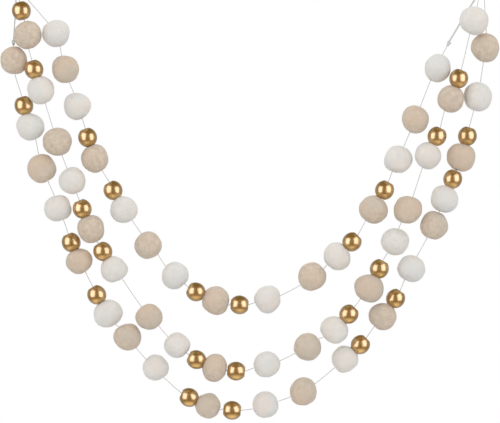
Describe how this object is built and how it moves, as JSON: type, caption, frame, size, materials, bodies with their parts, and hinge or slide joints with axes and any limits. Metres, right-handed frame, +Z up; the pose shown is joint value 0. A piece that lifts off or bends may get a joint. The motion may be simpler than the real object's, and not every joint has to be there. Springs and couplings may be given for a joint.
{
  "type": "felt ball garland",
  "caption": "Garland of white and beige felt balls and round gold beads on a thin white thread, hung back and forth in swags, with a knotted loop for hanging at each end.",
  "frame": {"origin": "where the thread bears on the top of the left peg", "axes": "+X along the span from the left peg to the right one, +Y away from the viewer, +Z up"},
  "size_m": [0.4342, 0.0354, 0.3771],
  "materials": {
    "white_felt_and_thread": "matte",
    "beige_felt": "matte",
    "gold_paint": "satin metallic paint"
  },
  "bodies": {
    "root": {"thread_and_white_balls_short_swag": "white_felt_and_thread", "thread_and_white_balls_middle_swag": "white_felt_and_thread", "thread_and_white_balls_long_swag": "white_felt_and_thread", "beige_ball_01": "beige_felt", "beige_ball_02": "beige_felt", "beige_ball_03": "beige_felt", "beige_ball_04": "beige_felt", "beige_ball_05": "beige_felt", "beige_ball_06": "beige_felt", "beige_ball_07": "beige_felt", "beige_ball_08": "beige_felt", "beige_ball_09": "beige_felt", "beige_ball_10": "beige_felt", "beige_ball_11": "beige_felt", "beige_ball_12": "beige_felt", "beige_ball_13": "beige_felt", "beige_ball_14": "beige_felt", "beige_ball_15": "beige_felt", "beige_ball_16": "beige_felt", "beige_ball_17": "beige_felt", "beige_ball_18": "beige_felt", "beige_ball_19": "beige_felt", "beige_ball_20": "beige_felt", "beige_ball_21": "beige_felt", "beige_ball_22": "beige_felt", "beige_ball_23": "beige_felt", "beige_ball_24": "beige_felt", "beige_ball_25": "beige_felt", "beige_ball_26": "beige_felt", "gold_bead_01": "gold_paint", "gold_bead_02": "gold_paint", "gold_bead_03": "gold_paint", "gold_bead_04": "gold_paint", "gold_bead_05": "gold_paint", "gold_bead_06": "gold_paint", "gold_bead_07": "gold_paint", "gold_bead_08": "gold_paint", "gold_bead_09": "gold_paint", "gold_bead_10": "gold_paint", "gold_bead_11": "gold_paint", "gold_bead_12": "gold_paint", "gold_bead_13": "gold_paint", "gold_bead_14": "gold_paint", "gold_bead_15": "gold_paint", "gold_bead_16": "gold_paint", "gold_bead_17": "gold_paint", "gold_bead_18": "gold_paint", "gold_bead_19": "gold_paint", "gold_bead_20": "gold_paint", "gold_bead_21": "gold_paint", "gold_bead_22": "gold_paint", "gold_bead_23": "gold_paint", "gold_bead_24": "gold_paint", "gold_bead_25": "gold_paint"}
  },
  "joints": []
}
